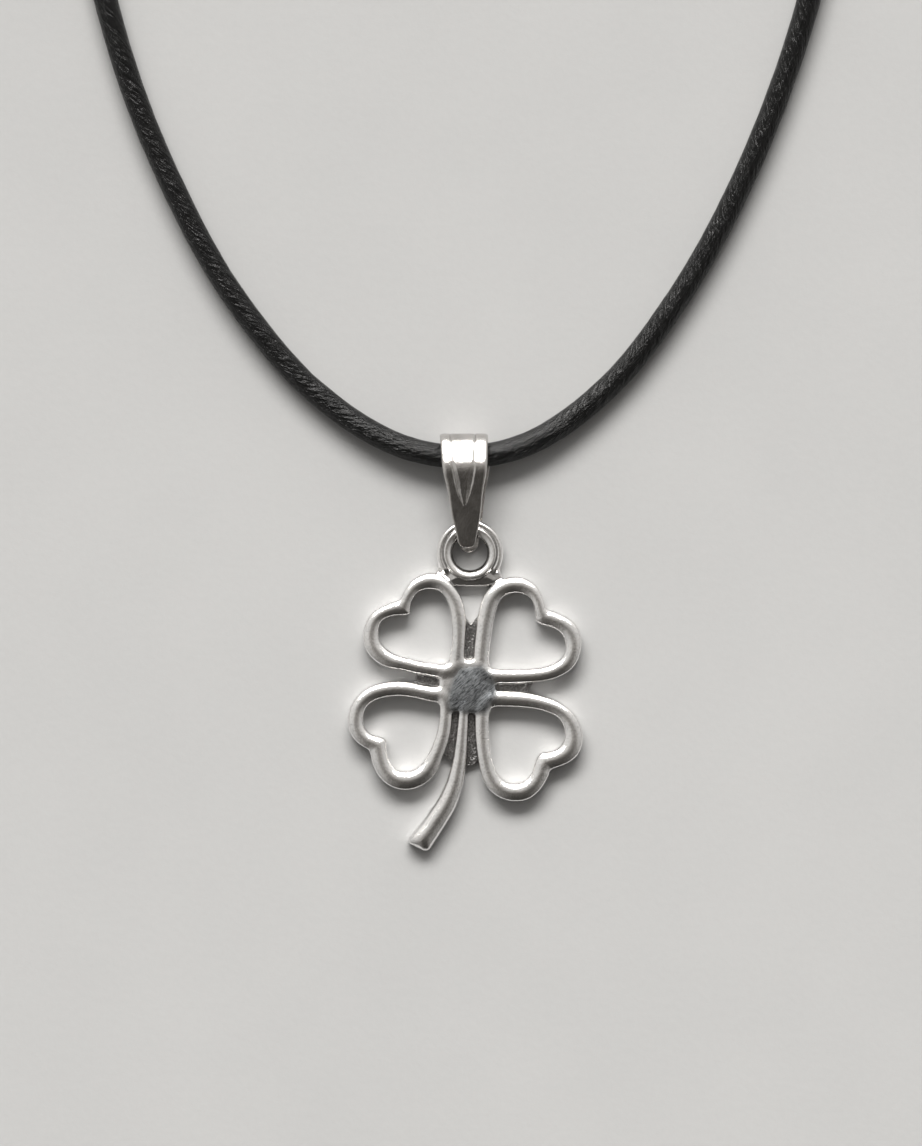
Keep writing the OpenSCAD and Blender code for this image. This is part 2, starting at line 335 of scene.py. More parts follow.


# %% [markdown]
# ### The leaves
#
# Each leaf is an open heart of round bar, and no two are quite alike, because the wax they were
# cast from was shaped by hand. Each has an outer and an inner edge, read from the picture
# and listed in its pixels. A smooth closed line goes through the points, and maps of the distance
# to each line say how far a place is from both edges of the bar, and so how high the bar is there.

# %% The leaves' edges
LEAVES = {
    "upper left": (
        [(400, 598.5), (403.5, 592), (409, 583.5), (414, 579), (420, 575.3), (427, 573), (433, 572.7),
         (440, 574.3), (446, 578), (451.5, 583.5), (457, 590), (461.2, 597.5), (464, 606), (465.7, 615),
         (466.2, 624), (465.6, 637), (464.8, 650), (464.3, 660), (461, 669), (455, 675), (447, 677.3),
         (440, 677), (430, 675.5), (420, 674), (410, 671.7), (400, 669.5), (390, 668), (382, 665), (375, 660.5),
         (369.5, 655), (365.3, 648), (363.4, 640), (363.6, 631), (366, 622.5), (370, 615.5), (375.5, 610.5),
         (382.5, 606.3), (390, 603), (396, 600.9)],
        [(409.6, 613.6), (410.2, 608), (411.4, 602.5), (414.2, 596.7), (418.5, 592), (424.2, 589.7),
         (430, 589.1), (436, 590), (441.7, 593.2), (445.8, 599.2), (448.8, 606.7), (450.5, 616.5),
         (451.6, 627.5), (451.9, 640), (450.9, 650), (449.5, 657.5), (446.8, 662.3), (440, 663.8), (430, 662.5),
         (420, 660.8), (410, 658.3), (400, 655.8), (392.5, 652.5), (386.5, 648.3), (381.2, 642.5),
         (378.9, 635.8), (379, 628.3), (380.8, 622.8), (384.5, 619), (390, 616.6), (397, 615.3), (403.5, 615.3)]),
    "upper right": (
        [(547, 608.6), (554, 611), (560, 613.6), (566, 616.6), (572.3, 620.9), (577, 626.2), (580, 632.3),
         (581.4, 639.5), (581, 648), (579, 656.5), (575.8, 663.5), (571.3, 668.9), (566, 673), (560, 676.2),
         (553, 678.9), (545, 680.8), (536, 682), (525, 682.8), (513, 683.2), (500, 683.3), (490, 682.3),
         (481, 678.5), (475.5, 672), (473.2, 664), (473.4, 655), (473.9, 647), (474.7, 639), (475.7, 630),
         (477, 620), (478.8, 610.5), (481, 602), (484, 595), (488, 589.5), (493.5, 584.4), (500, 580.2),
         (506.5, 577.7), (513, 576.5), (520, 576.9), (526.5, 578.8), (532.5, 582.5), (537.5, 587.3),
         (541.3, 593.5), (544, 600.5)],
        [(535.9, 620.5), (535.3, 615.5), (534.4, 610), (533.2, 605), (530.8, 599.5), (526.7, 595.8),
         (521.5, 593.7), (515, 592.9), (508.8, 594), (503.3, 597.1), (499.5, 602), (497, 608.3), (495.2, 615),
         (493.6, 622.5), (492.3, 630), (491.2, 637.5), (490.3, 645.5), (489.5, 653), (489, 660.5),
         (490.2, 665.8), (494.3, 668.2), (502.5, 668.8), (511.7, 669), (523.3, 669), (533.3, 668.3),
         (540.5, 667.4), (547, 665.9), (553, 663.5), (558, 660.5), (562, 656.3), (564.7, 650.5), (565.3, 644.5),
         (564, 638.8), (561, 633.5), (556.5, 629.6), (550.5, 627), (544.5, 625.3), (539.5, 623.7)]),
    "lower left": (
        [(368.6, 749.6), (363.8, 746.8), (359.7, 743.9), (355.3, 740), (351.5, 735), (348.9, 728.5),
         (348, 720.5), (348.7, 713), (351, 705.5), (355, 699), (360.3, 692.8), (365.8, 688.6), (372.5, 685.2),
         (380, 683), (388, 681.6), (396, 680.9), (404, 681.1), (412, 682.2), (420, 684), (428, 685.4),
         (437, 686.3), (445, 688), (450.8, 694), (452.6, 702), (452.3, 712), (451.8, 722), (450.8, 731),
         (448.8, 740), (446, 748.8), (442.8, 757), (439.3, 766.5), (434.5, 774.8), (428, 781.3), (421, 785.8),
         (413.5, 788.7), (406, 789.6), (398, 788.8), (390.5, 785.9), (384, 781.5), (378.8, 775.5),
         (374.8, 768.5), (372, 761.5), (370.6, 755)],
        [(386.4, 740), (383.2, 737.2), (378.8, 735.9), (374.3, 734.9), (370, 732.8), (366.4, 729.2), (364, 724),
         (363.4, 718.5), (364.3, 712), (367, 706.6), (371, 702.8), (376.5, 699.7), (383, 697.6), (390, 696.4),
         (398, 695.9), (406, 696.3), (414, 697.5), (422, 699.4), (430, 701.2), (435.8, 702), (438.8, 704.7),
         (439.5, 711), (438.9, 719), (437.7, 727), (435.8, 735), (433.2, 742.5), (430.2, 749.5), (426.5, 756.6),
         (422, 762.7), (416.5, 767.5), (410.5, 770.1), (404, 770.7), (398, 769.5), (393.5, 766.2),
         (390.3, 761.5), (388.3, 756), (387.2, 750), (386.9, 744.5)]),
    "lower right": (
        [(551, 769.7), (548.5, 775.5), (545, 782), (540.8, 788.3), (535.8, 793.6), (530, 797.9), (523, 800.4),
         (516, 801), (508.5, 800.4), (501, 797.9), (494.3, 794), (489, 789), (484.8, 783), (481.8, 776.3),
         (479.6, 768.5), (478, 760.5), (476.7, 752), (475.7, 743), (475, 733.5), (474.8, 724), (474.9, 714),
         (476, 704), (480, 696), (487, 691.3), (496, 690), (505, 690.3), (514, 690.7), (523, 691.5), (532, 693),
         (541, 695.3), (550, 697.8), (557.5, 700.9), (564, 704.8), (570, 709.4), (575.3, 715), (579.3, 721.5),
         (581.8, 729), (582.7, 737), (581.7, 745.5), (578.5, 753.3), (573.3, 759), (566.5, 763.4), (559, 766.4)],
        [(539.6, 753.3), (543, 751.9), (548, 751.4), (553, 750.2), (557.5, 747.8), (561, 744.2), (563.5, 739),
         (564.4, 733), (563.7, 727), (561.2, 721.5), (557.2, 717), (552, 713.9), (545.5, 711.4), (538, 709.3),
         (530, 708), (521.5, 707.1), (513, 706.7), (504, 706.4), (496.5, 706.5), (491.8, 708.4), (490.1, 713.5),
         (489.5, 722), (489.3, 731), (489.6, 740), (490.5, 748.5), (492, 757), (494.4, 765.5), (498, 773),
         (503, 778.8), (509, 782.1), (515, 782.9), (521, 781.8), (526, 779), (530, 774.8), (532.5, 769.5),
         (534.3, 763.5), (536.5, 757.5)]),
}


# %% Turn the edges into maps of distance
def from_pixels(points):
    """Points of the picture as places on the table, in millimetres."""
    return [((x - centre_px[0]) / PIXELS_PER_MM, (centre_px[1] - y) / PIXELS_PER_MM) for x, y in points]


def closed_line(points, steps):
    """The smooth closed line through the points."""
    return smooth_line([points[-1]] + list(points) + [points[0], points[1]], steps)[steps:-steps - 1]


class DistanceMap:
    """How far each place lies inside a flat outline, kept on a fine grid and read back smoothly."""

    def __init__(self, outline, low, high, step=0.08):
        x, y = (np.arange(low[k] - 2 * step, high[k] + 3 * step, step) for k in range(2))
        self.low, self.step = (x[0], y[0]), step
        self.values = inside_distance(outline, x[:, None], y[None, :])

    def read(self, x, y):
        """The distance at each place, from the four by four kept values round it."""
        whole, part = [], []
        for v, low, n in zip((x, y), self.low, self.values.shape):
            v = (v - low) / self.step
            at = np.clip(np.floor(v).astype(int), 1, n - 3)
            t = np.clip(v - at, 0, 1)
            whole.append(at)
            part.append((
                t * (-0.5 + t * (1 - 0.5 * t)),
                1 + t * t * (-2.5 + 1.5 * t),
                t * (0.5 + t * (2 - 1.5 * t)),
                t * t * (-0.5 + 0.5 * t),
            ))
        total = 0
        for i in range(4):
            for j in range(4):
                total = total + part[0][i] * part[1][j] * self.values[whole[0] + i - 1, whole[1] + j - 1]
        return total


# how far a leaf's maps reach past it, and the distance from its inner edge that stands for further away
LEAF_MARGIN, FAR_OFF = 0.8, 2.8
THINNEST, THICKEST = 0.5, 1.4  # half a bar's width


class Leaf:
    """One leaf's two edges as distance maps."""

    def __init__(self, outer, inner):
        outer, inner = (closed_line(from_pixels(edge), 5) for edge in (outer, inner))
        self.low, self.high = outer.min(axis=0) - LEAF_MARGIN, outer.max(axis=0) + LEAF_MARGIN
        self.outer, self.inner = (DistanceMap(edge, self.low, self.high) for edge in (outer, inner))

    def field(self, x, y, z):
        x, y = np.broadcast_arrays(x, y)
        near = (x > self.low[0]) & (x < self.high[0]) & (y > self.low[1]) & (y < self.high[1])
        from_outer, from_inner = np.full(x.shape, -LEAF_MARGIN), np.full(x.shape, FAR_OFF)
        from_outer[near] = self.outer.read(x[near], y[near])
        from_inner[near] = -self.inner.read(x[near], y[near])
        half = np.clip((from_outer + from_inner) / 2, THINNEST, THICKEST)
        return domed(np.minimum(from_outer, from_inner), half, BAR_H, z)


LEAF_FORMS = [Leaf(*edges) for edges in LEAVES.values()]
print("leaf widths in mm", [round(float(leaf.high[0] - leaf.low[0]) - 2 * LEAF_MARGIN, 1) for leaf in LEAF_FORMS])

# %% [markdown]
# ### The middle, the webs, the stem, the neck and the ring
#
# The middle is a low flat boss. The slots between the leaves keep a sunk web, rough from the
# mould. The stem bends as it leaves the middle, swells, and ends blunt. The ring's section is a
# round bead that faces the hole, a fine valley behind it, and a broad flat rim. Where the neck
# begins the rim sinks away, and three gentle slopes lead down to the leaves.

# %% The outlines of the middle, the webs and the neck
# the middle's crest, where it is, how fast the top falls away round it, and how soft its edge is
MIDDLE_H, MIDDLE_AT, MIDDLE_FALL, MIDDLE_SOFT = 2.47, (0.6, -5.9), 0.018, 0.6
MIDDLE_EDGE = from_pixels([
    (462.5, 659.3), (475.5, 659.3), (486, 668), (496, 681), (496, 692), (488, 706), (477, 713.5), (467, 713.5),
    (458, 711.5), (449, 711.5), (442, 703), (438.5, 690), (438.5, 674), (449, 666),
])
WEB_H, WEB_EDGE = 0.9, 0.15
WEBS = [from_pixels(web) for web in (
    [(460, 664), (478, 664), (479, 615), (470.7, 623.5), (464, 615)],
    [(441, 668), (441, 692), (412, 690), (418, 668)],
    [(493, 674), (493, 698), (524, 698), (537, 676)],
    [(446, 704), (482, 704), (483, 752), (476, 763), (466, 768), (452, 762), (439, 750)],
)]
NECK = from_pixels([
    (441, 556), (438, 565), (436.5, 571), (436, 578), (448, 586.4), (470, 586.2), (490, 586.4), (500, 584),
    (503.5, 579.5), (500.5, 572), (498.5, 566), (492, 556),
])
# the neck's flat top, the height of its sides, the width of its edge, and where it ends round the hole
NECK_H, NECK_SIDE_H, NECK_EDGE, NECK_END_R = 2.02, 1.65, 0.22, 2.75
# how steep its slopes are, and how far from the ring's middle they begin: to the front, the left and the right
NECK_SLOPES = ((0.5, 3.05), (0.22, 1.5), (0.25, 2.1))
print("outlines: middle", len(MIDDLE_EDGE), "points, webs", [len(web) for web in WEBS], "neck", len(NECK))

# %% The stem
# its middle line and its width, in pixels
STEM = [
    (464.2, 704, 9.6), (463.8, 710, 10), (462.6, 728, 11.4), (461.2, 745, 13), (459.4, 760, 14.4),
    (455.6, 779.5, 16.8), (451.2, 792.8, 18.4), (445.6, 805, 19.8), (438.6, 816, 20.8), (431.3, 827, 21.6),
    (424, 837, 23), (415, 849.5, 24.5),
]
STEM_LINE = smooth_line([from_pixels([row[:2]])[0] + (row[2] / PIXELS_PER_MM,) for row in STEM], 5)
STEM_H, STEM_DOME = BAR_H - 0.02, 1.12
# where the blunt end is, how far it is turned, and how round its corners are
STEM_END, STEM_END_TURN, STEM_END_SOFT = from_pixels([(418.2, 847.8)])[0], math.radians(27), 0.8


def stem_field(x, y, z):
    """The nearest stretch of the stem's line gives the distance and the width."""
    best = half = None
    for (ax, ay, aw), (bx, by, bw) in zip(STEM_LINE[:-1], STEM_LINE[1:]):
        ex, ey = bx - ax, by - ay
        t = np.clip(((x - ax) * ex + (y - ay) * ey) / (ex * ex + ey * ey), 0, 1)
        away, wide = np.hypot(x - ax - t * ex, y - ay - t * ey), (aw + t * (bw - aw)) / 2
        if best is None:
            best, half = away, wide
        else:
            half = np.where(away < best, wide, half)
            best = np.minimum(away, best)
    (ex, ey), turn = STEM_END, STEM_END_TURN
    past = -(x - ex) * math.sin(turn) - (y - ey) * math.cos(turn)
    inside = -cut(best - half, past, STEM_END_SOFT)
    return domed(inside, half, STEM_H, z, STEM_DOME)


print("stem", len(STEM_LINE), "points, widths", [round(float(w), 2) for w in STEM_LINE[[0, -1], 2]], "mm")

# %% The ring
RING_AT = (0.68, 11.12)
# its section: away from its middle, and up, in millimetres
RING_SECTION = [
    (2.17, 0.95), (2.16, 1.2), (2.16, 1.42), (2.19, 1.65), (2.28, 1.87), (2.43, 2.07), (2.63, 2.215),
    (2.85, 2.305), (3.02, 2.335), (3.14, 2.33), (3.23, 2.28), (3.3, 2.17), (3.37, 2.07), (3.46, 2.06),
    (3.56, 2.11), (3.68, 2.13), (3.8, 2.12), (3.92, 2.08), (4.03, 1.98), (4.12, 1.82), (4.18, 1.5),
    (4.19, 1.15), (4.14, 0.84), (4, 0.75), (3.6, 0.75), (3.1, 0.75), (2.6, 0.75), (2.3, 0.77),
]
RING_MAP = DistanceMap(closed_line(RING_SECTION, 8), (0, -0.6), (6, 3.6))
# how deep the rim sinks where it meets the neck
RIM_SINK = 0.62
# where it starts to sink, as a share of straight down and as a distance, and over how much of each
SINK_TURN, SINK_TURN_OVER, SINK_R, SINK_R_OVER = 0.55, 0.2, 3.25, 0.4


def ring_field(x, y, z):
    dx, dy = x - RING_AT[0], y - RING_AT[1]
    r = np.hypot(dx, dy)
    straight_down = -dy / np.maximum(r, 0.1)
    to_neck = share_past(straight_down, SINK_TURN, SINK_TURN_OVER) * share_past(r, SINK_R, SINK_R_OVER)
    # both are kept inside the map
    r, up = np.broadcast_arrays(np.minimum(r, 5.9), np.clip(z + RIM_SINK * to_neck, -0.5, 3.5))
    return -RING_MAP.read(r, up)


print("ring section", len(RING_SECTION), "points, crest", max(up for _, up in RING_SECTION), "mm")

# %% The whole clover as one field
# how soft the inside corners are where each form joins the rest
LEAF_JOIN, STEM_JOIN, NECK_JOIN, RING_JOIN = 0.45, 0.3, 0.2, 0.25
BACK_EDGE = 0.12


def neck_field(x, y, z):
    """The neck's flat top falls away in three slopes, and its inner end stops short of the ring's hole."""
    fall = 0
    ways = (RING_AT[1] - y, RING_AT[0] - x, x - RING_AT[0])
    for way, (steep, start) in zip(ways, NECK_SLOPES):
        fall = np.maximum(fall, steep * (way - start))
    neck = rounded(inside_distance(NECK, x, y), NECK_EDGE, NECK_SIDE_H, NECK_H, z + fall)
    return cut(neck, NECK_END_R - np.hypot(x - RING_AT[0], y - RING_AT[1]), 0.1)


def clover_field(x, y, z):
    """Below nought inside the metal. Places are in millimetres, in the pendant's own frame."""
    slope_down = MIDDLE_FALL * ((x - MIDDLE_AT[0]) ** 2 + (y - MIDDLE_AT[1]) ** 2)
    metal = cut(z - MIDDLE_H + slope_down, -inside_distance(MIDDLE_EDGE, x, y), MIDDLE_SOFT)
    for leaf in LEAF_FORMS:
        metal = joined(metal, leaf.field(x, y, z), LEAF_JOIN)
    metal = joined(metal, stem_field(x, y, z), STEM_JOIN)
    for web in WEBS:
        sheet = rounded(inside_distance(web, x, y), WEB_EDGE, WEB_H - WEB_EDGE, WEB_H, z)
        metal = joined(metal, sheet, WEB_EDGE)
    metal = joined(metal, neck_field(x, y, z), NECK_JOIN)
    metal = cut(metal, -z, BACK_EDGE)
    return joined(metal, ring_field(x, y, z), RING_JOIN)


# %% [markdown]
# ### From the field to a mesh
#
# A grid of cells is laid over the field. Each cell that the surface passes through gets one point,
# and each grid line that it crosses gets one face. Where a square of the grid holds metal in two
# opposite corners only, the faces round it would meet in one edge, so a third corner is filled first.
# The points are then evened out and set on the surface exactly, and the field's slope gives the
# normals, so reflections run without a ripple.

# %% Fill the grid's doubtful corners
JUST_INSIDE = -1e-4


def fill_doubtful_corners(value, rounds=4):
    """Fills a third corner where two opposite ones hold metal, so that no edge gets four faces."""
    # a filled corner can make its neighbour doubtful, so there are a few rounds
    for _ in range(rounds):
        for p, q in ((0, 1), (0, 2), (1, 2)):
            steps = np.zeros((4, 3), int)
            steps[1:3, p] = steps[2:4, q] = 1
            sizes = [n - (m in (p, q)) for m, n in enumerate(value.shape)]
            a, b, c, d = (value[tuple(slice(k, k + n) for k, n in zip(step, sizes))] < 0 for step in steps)
            for spot in np.argwhere((a == c) & (b == d) & (a != b)):
                empty = [k for k in map(tuple, spot + steps) if value[k] >= 0]
                if len(empty) == 2:
                    value[min(empty, key=lambda k: value[k])] = JUST_INSIDE


# %% Turn a field into a surface
def surface_of(field, low, high, step):
    """Points and four-sided faces of the surface where the field is nought."""
    axes = [np.arange(low[k], high[k] + step, step) for k in range(3)]
    value = field(axes[0][:, None, None], axes[1][None, :, None], axes[2][None, None, :])
    fill_doubtful_corners(value)
    cells = tuple(n - 1 for n in value.shape)
    total, count, crossings = np.zeros((np.prod(cells), 3)), np.zeros(np.prod(cells)), []
    for k in range(3):
        a = value[tuple(slice(0, -1) if m == k else slice(None) for m in range(3))]
        b = value[tuple(slice(1, None) if m == k else slice(None) for m in range(3))]
        at = np.argwhere((a < 0) != (b < 0))
        va, vb = a[tuple(at.T)], b[tuple(at.T)]
        where = at.astype(float)
        where[:, k] += va / (va - vb)
        p, q = (k + 1) % 3, (k + 2) % 3
        round_it = []
        for dp, dq in ((0, 0), (-1, 0), (-1, -1), (0, -1)):
            cell = at.copy()
            cell[:, p] += dp
            cell[:, q] += dq
            flat = np.ravel_multi_index(tuple(cell.T), cells)
            for m in range(3):
                total[:, m] += np.bincount(flat, where[:, m], len(total))
            count += np.bincount(flat, minlength=len(count))
            round_it.append(flat)
        quad = np.stack(round_it, axis=-1)
        crossings.append(np.where((va < 0)[:, None], quad, quad[:, ::-1]))
    used = np.flatnonzero(count)
    number = np.full(len(count), -1)
    number[used] = np.arange(len(used))
    points = total[used] / count[used][:, None] * step + np.array(low)
    return points, number[np.vstack(crossings)]


# %% Even the points out and set them on the surface
def slope_of(field, points, reach=0.01):
    """The field's slope at the points."""
    sides = []
    for k in range(3):
        shift = np.zeros(3)
        shift[k] = reach
        sides.append((field(*(points + shift).T) - field(*(points - shift).T)) / (2 * reach))
    return np.stack(sides, axis=-1)


def settle(field, points, faces, rounds=3, longest_move=0.05, least_slope=0.05):
    """Evens the points out and sets them back on the surface, twice more than it evens them."""
    a, b = faces.ravel(), np.roll(faces, -1, axis=1).ravel()
    size = len(points)
    for turn in range(rounds + 2):
        if turn < rounds:
            near = np.zeros_like(points)
            for m in range(3):
                near[:, m] = np.bincount(a, points[b, m], size) + np.bincount(b, points[a, m], size)
            near /= (np.bincount(a, minlength=size) + np.bincount(b, minlength=size))[:, None]
            points = points + 0.5 * (near - points)
        slope = slope_of(field, points)
        away = field(*points.T)[:, None] * slope / np.maximum((slope ** 2).sum(axis=1), least_slope)[:, None]
        points = points - np.clip(away, -longest_move, longest_move)
    slope = slope_of(field, points)
    return points, slope / np.maximum(np.linalg.norm(slope, axis=1), 1e-9)[:, None]


# %% Make the clover
CLOVER_STEP = 0.15
points, faces = surface_of(clover_field, (-15.2, -26.7, -0.4), (15.2, 15.8, 3.0), CLOVER_STEP)
points, normals = settle(clover_field, points, faces)
print("clover surface", len(points), "points")


# %% Mark the clover's brushed and sunk places, and its tight folds for painted shade
def soft_step(value, low, high):
    """Runs softly from nought, where the value is low, to one, where it is high."""
    t = share_past(value, low, high - low)
    return t * t * (3 - 2 * t)


BRUSHED = from_pixels([
    (459, 668), (470, 666), (482, 665), (492, 675), (497, 687), (495, 699), (486, 712), (474, 714), (462, 712),
    (451, 712), (447, 704), (449, 690), (453, 678),
])
at_x, at_y, at_z = points.T
brushed = soft_step(inside_distance(BRUSHED, at_x, at_y), -0.6, 0.5) * soft_step(at_z, 1.9, 2.15)
# the webs: the casting's finish gives them a dark colour that is partly their rough skin, partly painted shade
in_web = np.max([inside_distance(web, at_x, at_y) for web in WEBS], axis=0)
sunk = soft_step(in_web, -0.1, 0.1) * soft_step(-at_z, -WEB_H - 0.45, -WEB_H - 0.1) * soft_step(at_z, 0.2, 0.5)
# how near other metal comes to the front of each point: one in tight folds and inside corners, nought in the open;
# the casting's colour is darkened there as painted shade
crease_reach = 0.35
crease_shade = np.clip(1 - clover_field(*(points + crease_reach * normals).T) / crease_reach, 0, 1)
print("clover points", len(points), "in creases", int((crease_shade > 0.5).sum()))
clover = make_piece("cast_clover", points, faces, normals, {"brushed": brushed, "sunk": sunk, "crease_shade": crease_shade})

# %% [markdown]
# ## The bail
#
# The bail is one strip of sheet, folded round the cord. Seen from the side it is a long drop, which
# comes over the cord, has a soft shoulder in front of it, and turns down tightly through the ring
# to the back leaf. A band drawn round four circles has just that line. Its front leaf narrows to a
# round tip, and two bevelled grooves come over the top and meet in a V. The longer back leaf lies
# on the table behind it. It is a field as well, so that its sheet has soft polished edges.

# %% The bail's sizes and outlines
SHEET, CORD_Y = 0.55, 23.1
LOOP_AT, LOOP_R = (23.55, 2.6), 2.45
SHOULDER_AT, SHOULDER_R = (21.75, 2.8), 3.0
TIP_AT, TIP_R = (12.25, 2.35), 0.6
FOOT_AT, FOOT_R = (12.3, 0.3), 0.5
FRONT_REACH, BACK_REACH, BACK_SHIFT, BAIL_TURN = 11.5, 12.0, 0.25, math.radians(1.6)
TOP_W, TIP_W = 6.3, 2.4
# each leaf's width: how far down it is, as a share of its reach, and how wide, as a share of the top
BAIL_SIDE = [(-0.3, 1), (0.1, 0.92), (0.377, 0.71), (0.64, 0.57), (0.83, 0.43)]


def leaf_outline(reach):
    """The outline of one leaf of the bail, from above, with the cord's middle at nought."""
    tip = reach - TIP_W / 2
    rows = [(TOP_W / 2 * wide, -share * reach) for share, wide in BAIL_SIDE if share * reach < tip]
    side = smooth_line(rows + [(TIP_W / 2, -tip)], 8)
    arc = [(TIP_W / 2 * math.cos(a), -tip - TIP_W / 2 * math.sin(a)) for a in np.linspace(0, math.pi, 33)[1:-1]]
    return np.vstack([side, arc, side[::-1] * (-1, 1)])


FRONT_OUTLINE, BACK_OUTLINE = leaf_outline(FRONT_REACH), leaf_outline(BACK_REACH)
BAIL_CIRCLES = ((LOOP_AT, LOOP_R), (SHOULDER_AT, SHOULDER_R), (TIP_AT, TIP_R), (FOOT_AT, FOOT_R))


def drop_outline(steps):
    """The bail from the side: the line of a band drawn tight round four circles."""
    line = []
    for a in np.linspace(0, 2 * math.pi, steps, endpoint=False):
        cy, cz = math.cos(a), math.sin(a)
        line.append(max((y * cy + z * cz + r, y + r * cy, z + r * cz) for (y, z), r in BAIL_CIRCLES)[1:])
    return np.array(line)


side_line = drop_outline(360)
DROP = DistanceMap(side_line, (10.5, -1.4), (26.6, 6.3))
print("bail side", [round(float(v), 2) for v in side_line.max(axis=0) - side_line.min(axis=0)], "mm long and high")


# %% The bail's grooves
# each groove's outer and inner edge: across and up, in millimetres
GROOVES = [
    ([(-1.88, 26.2), (-1.86, 24.1), (-1.76, 22.7), (-1.56, 21.45), (-1.29, 19.9), (-0.91, 18.5), (-0.09, 16.85)],
     [(-1.62, 26.2), (-1.56, 24.1), (-1.33, 22.7), (-0.93, 21.45), (-0.56, 19.9), (-0.43, 18.5), (-0.09, 16.85)]),
    ([(1.44, 26.2), (1.42, 24.1), (1.41, 22.7), (1.37, 21.45), (1.12, 19.9), (0.71, 18.5), (0.09, 16.85)],
     [(1.08, 26.2), (1.05, 24.1), (0.92, 22.7), (0.54, 21.45), (0.32, 19.9), (0.24, 18.5), (0.09, 16.85)]),
]
# how deep a groove may be, how deep for its width, and the share of its width that its steep wall takes
GROOVE_DEEPEST, GROOVE_DEEP, GROOVE_WALL = 0.15, 0.45, 0.25
# the grooves begin at this height, and are whole this much higher
GROOVE_Z, GROOVE_Z_OVER = 1.2, 0.8


def groove_depth(x, y):
    """How deep the grooves are at each place: a steep outer wall, and a long slope up to the middle."""
    depth = 0
    for outer, inner in GROOVES:
        outer, inner = np.array(outer)[::-1], np.array(inner)[::-1]
        start, end = np.interp(y, outer[:, 1], outer[:, 0]), np.interp(y, inner[:, 1], inner[:, 0])
        wide = np.abs(end - start)
        share = (x - start) / np.where(wide > 0.01, end - start, 1)
        wall = np.clip(np.minimum(share / GROOVE_WALL, (1 - share) / (1 - GROOVE_WALL)), 0, 1)
        depth = depth + np.where(wide > 0.01, wall * np.minimum(GROOVE_DEEP * wide, GROOVE_DEEPEST), 0)
    return depth


# %% The bail as one field
# how soft the sheet's bends are where it meets the table, outside and inside
BEND_OUTSIDE, BEND_INSIDE = 0.5, 0.4
FRONT_LOWEST = 0.45


def bail_field(x, y, z):
    """Below nought inside the sheet: a front leaf with grooves, and a longer back leaf flat on the table."""
    c, s = math.cos(BAIL_TURN), math.sin(BAIL_TURN)
    bx, by = x * c + (y - CORD_Y) * s, -x * s + (y - CORD_Y) * c
    drop = -DROP.read(y, z)
    cut_in = groove_depth(x, y) * share_past(z, GROOVE_Z, GROOVE_Z_OVER)
    sheet = np.maximum(cut(drop + cut_in, -z, BEND_OUTSIDE), -cut(drop + SHEET, SHEET - z, BEND_INSIDE))
    # the front leaf's edge is softer where it comes over the cord
    front_edge = 0.28 + 0.08 * np.clip(y - 17, 0, 5)
    front = cut(sheet, -inside_distance(FRONT_OUTLINE, bx, by), front_edge)
    in_back = inside_distance(BACK_OUTLINE, bx - BACK_SHIFT, by)
    worn_edge = 0.7 * np.maximum(0.5 - in_back, 0) ** 2
    flat = np.maximum(np.abs(z - SHEET / 2) - SHEET / 2 + worn_edge, y - LOOP_AT[0])
    back = cut(np.minimum(sheet, flat), -in_back, BACK_EDGE)
    return np.minimum(np.maximum(front, FRONT_LOWEST - z), np.maximum(back, z - SHEET))


# %% Make the bail
BAIL_STEP = 0.085
points, faces = surface_of(bail_field, (-3.6, 10.5, -0.25), (3.7, 26.4, 6.1), BAIL_STEP)
points, normals = settle(bail_field, points, faces)
bail = make_piece("sheet_bail", points, faces, normals)

# %% [markdown]
# ## The barrel
#
# The cord's ends are glued into a plain turned barrel with softly rounded edges. A profile turned
# round the cord's line gives it. The edges get more rings than the straight middle.

# %% Turn the barrel
def turn_barrel(sides=64, edge=0.4):
    """The barrel: a hollow for the cord in each end, a rounded edge, and a straight middle."""
    r, half, hollow = BARREL_D / 2, BARREL_LENGTH / 2, CORD_D / 2 + 0.1
    # one end's profile: how far in from the end, and how far out from the middle line
    end = [(0.12, 0.4), (0.12, hollow - 0.15), (0.08, hollow - 0.04), (0, hollow + 0.06)]
    end += [(edge * (1 - math.sin(a)), r - edge * (1 - math.cos(a))) for a in np.linspace(0, math.pi / 2, 7)[::-1]]
    end += [(x, r) for x in (2, 4, 6)]
    profile = [(x - half, y) for x, y in end] + [(0, r)] + [(half - x, y) for x, y in end[::-1]]
    angle = np.linspace(0, 2 * math.pi, sides, endpoint=False)
    middle = np.array([BARREL_AT[0], BARREL_AT[1], BARREL_D / 2])
    turned = np.stack([np.zeros(sides), np.cos(angle), np.sin(angle)], axis=-1)
    rings = [middle + (x, 0, 0) + y * turned for x, y in profile]
    ends = [middle + (x, 0, 0) for x in (profile[0][0], profile[-1][0])]
    piece = make_piece("turned_barrel", np.vstack(rings + [ends]), tube_faces(len(profile), sides))
    close_ends(piece, len(profile), sides)
    return piece


turned_barrel = turn_barrel()

# %% [markdown]
# ## Writing materials as sums
#
# Materials here are node trees, so that they need no picture files. Trees are hard to read as
# boxes and wires, so one small class lets a socket be added, multiplied and clipped as a number is,
# and one method adds any other node from its type, its settings and its inputs.

